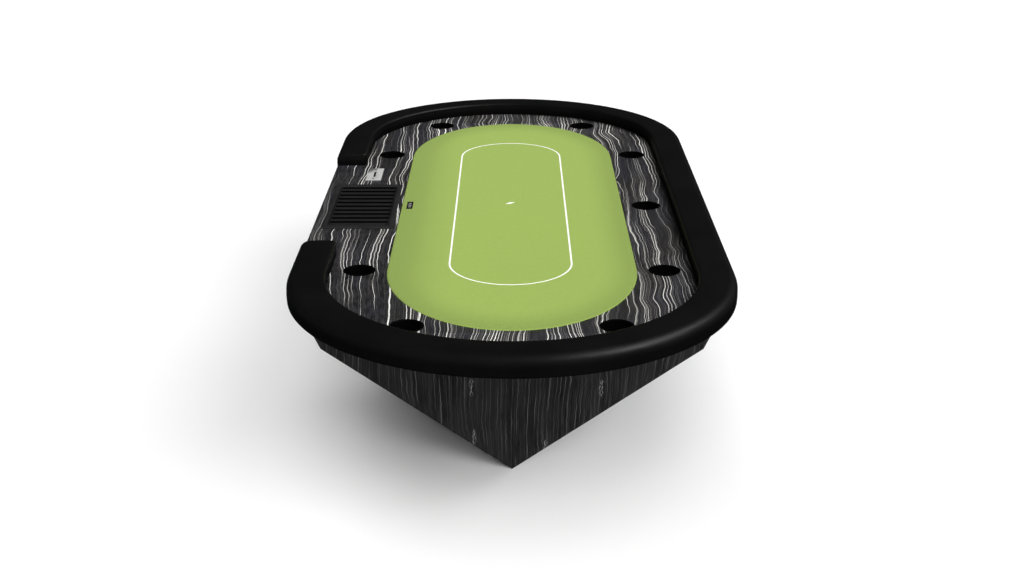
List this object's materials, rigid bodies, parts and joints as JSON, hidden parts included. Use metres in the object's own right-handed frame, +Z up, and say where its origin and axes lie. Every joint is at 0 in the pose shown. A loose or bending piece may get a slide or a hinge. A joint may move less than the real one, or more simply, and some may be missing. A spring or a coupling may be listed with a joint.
{
  "type": "poker table",
  "caption": "Long stadium-shaped poker table with a padded C-shaped rail, laminate racetrack, cloth playfield, drop-in cups, chip tray, drop slot and a faceted gem-shaped base.",
  "frame": {"origin": "on the floor, under the middle of the table", "axes": "+Z up; +Y along the table's length, towards the end with the drop slot; -X towards the dealer's place, where the rail is interrupted"},
  "size_m": [1.222, 2.58, 0.7925],
  "materials": {
    "painted_steel": "satin dark powder coat",
    "zinc_steel": "bright zinc plate",
    "brushed_plate": "brushed stainless",
    "hull_laminate": "near-black wood-grain laminate, fine pale grain, satin",
    "racetrack_laminate": "charcoal wood-grain laminate with wavy cream streaks, satin",
    "plywood": "bare plywood",
    "foam": "closed-cell foam",
    "lime_cloth": "lime-green speed cloth",
    "badge": "dark woven patch",
    "black_vinyl": "black upholstery vinyl over foam, satin",
    "black_plastic": "matt black moulded plastic"
  },
  "bodies": {
    "table": {"floor_plate": "painted_steel", "anchor_bolt_1": "zinc_steel", "anchor_bolt_2": "zinc_steel", "anchor_bolt_3": "zinc_steel", "anchor_bolt_4": "zinc_steel", "keel_spine": "painted_steel", "bulkhead_near": "plywood", "bulkhead_far": "plywood", "hull_front": "hull_laminate", "hull_rear": "hull_laminate", "hull_left_lower": "hull_laminate", "hull_right_lower": "hull_laminate", "hull_left_upper": "hull_laminate", "hull_right_upper": "hull_laminate", "sub_deck": "plywood", "racetrack": "racetrack_laminate", "playfield_board": "plywood", "playfield_foam": "foam", "playfield_cloth": "lime_cloth", "cloth_badge": "badge", "rail_core_far": "plywood", "rail_core_near": "plywood", "rail_core_right": "plywood", "rail_pad": "black_vinyl", "rail_bolt_1": "zinc_steel", "rail_bolt_2": "zinc_steel", "rail_bolt_3": "zinc_steel", "rail_bolt_4": "zinc_steel", "rail_bolt_5": "zinc_steel", "rail_bolt_6": "zinc_steel", "rail_bolt_7": "zinc_steel", "rail_bolt_8": "zinc_steel", "tray_frame": "black_plastic", "slot_plate": "brushed_plate", "slot_screw_1": "zinc_steel", "slot_screw_2": "zinc_steel", "slot_chute": "zinc_steel", "box_carrier": "painted_steel"},
    "tray": {"chip_tray": "black_plastic"},
    "cash_drawer": {"cash_box": "painted_steel", "drawer_front": "hull_laminate"},
    "lock": {"drawer_lock": "zinc_steel"},
    "cup_1": {"cup_1": "black_plastic"},
    "cup_2": {"cup_2": "black_plastic"},
    "cup_3": {"cup_3": "black_plastic"},
    "cup_4": {"cup_4": "black_plastic"},
    "cup_5": {"cup_5": "black_plastic"},
    "cup_6": {"cup_6": "black_plastic"},
    "cup_7": {"cup_7": "black_plastic"},
    "cup_8": {"cup_8": "black_plastic"},
    "cup_9": {"cup_9": "black_plastic"}
  },
  "joints": [
    {"name": "tray_lift", "type": "slide", "parent": "table", "child": "tray", "axis": [0, 0, 1], "range_m": [0, 0.12]},
    {"name": "drawer_slide", "type": "slide", "parent": "table", "child": "cash_drawer", "axis": [-1, 0, 0], "range_m": [0, 0.13]},
    {"name": "lock_turn", "type": "hinge", "parent": "cash_drawer", "child": "lock", "pos_m": [-0.548, 0.346, 0.655], "axis": [1, 0, 0], "range_deg": [0, 90]},
    {"name": "cup_1_lift", "type": "slide", "parent": "table", "child": "cup_1", "axis": [0, 0, 1], "range_m": [0, 0.09]},
    {"name": "cup_2_lift", "type": "slide", "parent": "table", "child": "cup_2", "axis": [0, 0, 1], "range_m": [0, 0.09]},
    {"name": "cup_3_lift", "type": "slide", "parent": "table", "child": "cup_3", "axis": [0, 0, 1], "range_m": [0, 0.09]},
    {"name": "cup_4_lift", "type": "slide", "parent": "table", "child": "cup_4", "axis": [0, 0, 1], "range_m": [0, 0.09]},
    {"name": "cup_5_lift", "type": "slide", "parent": "table", "child": "cup_5", "axis": [0, 0, 1], "range_m": [0, 0.09]},
    {"name": "cup_6_lift", "type": "slide", "parent": "table", "child": "cup_6", "axis": [0, 0, 1], "range_m": [0, 0.09]},
    {"name": "cup_7_lift", "type": "slide", "parent": "table", "child": "cup_7", "axis": [0, 0, 1], "range_m": [0, 0.09]},
    {"name": "cup_8_lift", "type": "slide", "parent": "table", "child": "cup_8", "axis": [0, 0, 1], "range_m": [0, 0.09]},
    {"name": "cup_9_lift", "type": "slide", "parent": "table", "child": "cup_9", "axis": [0, 0, 1], "range_m": [0, 0.09]}
  ]
}
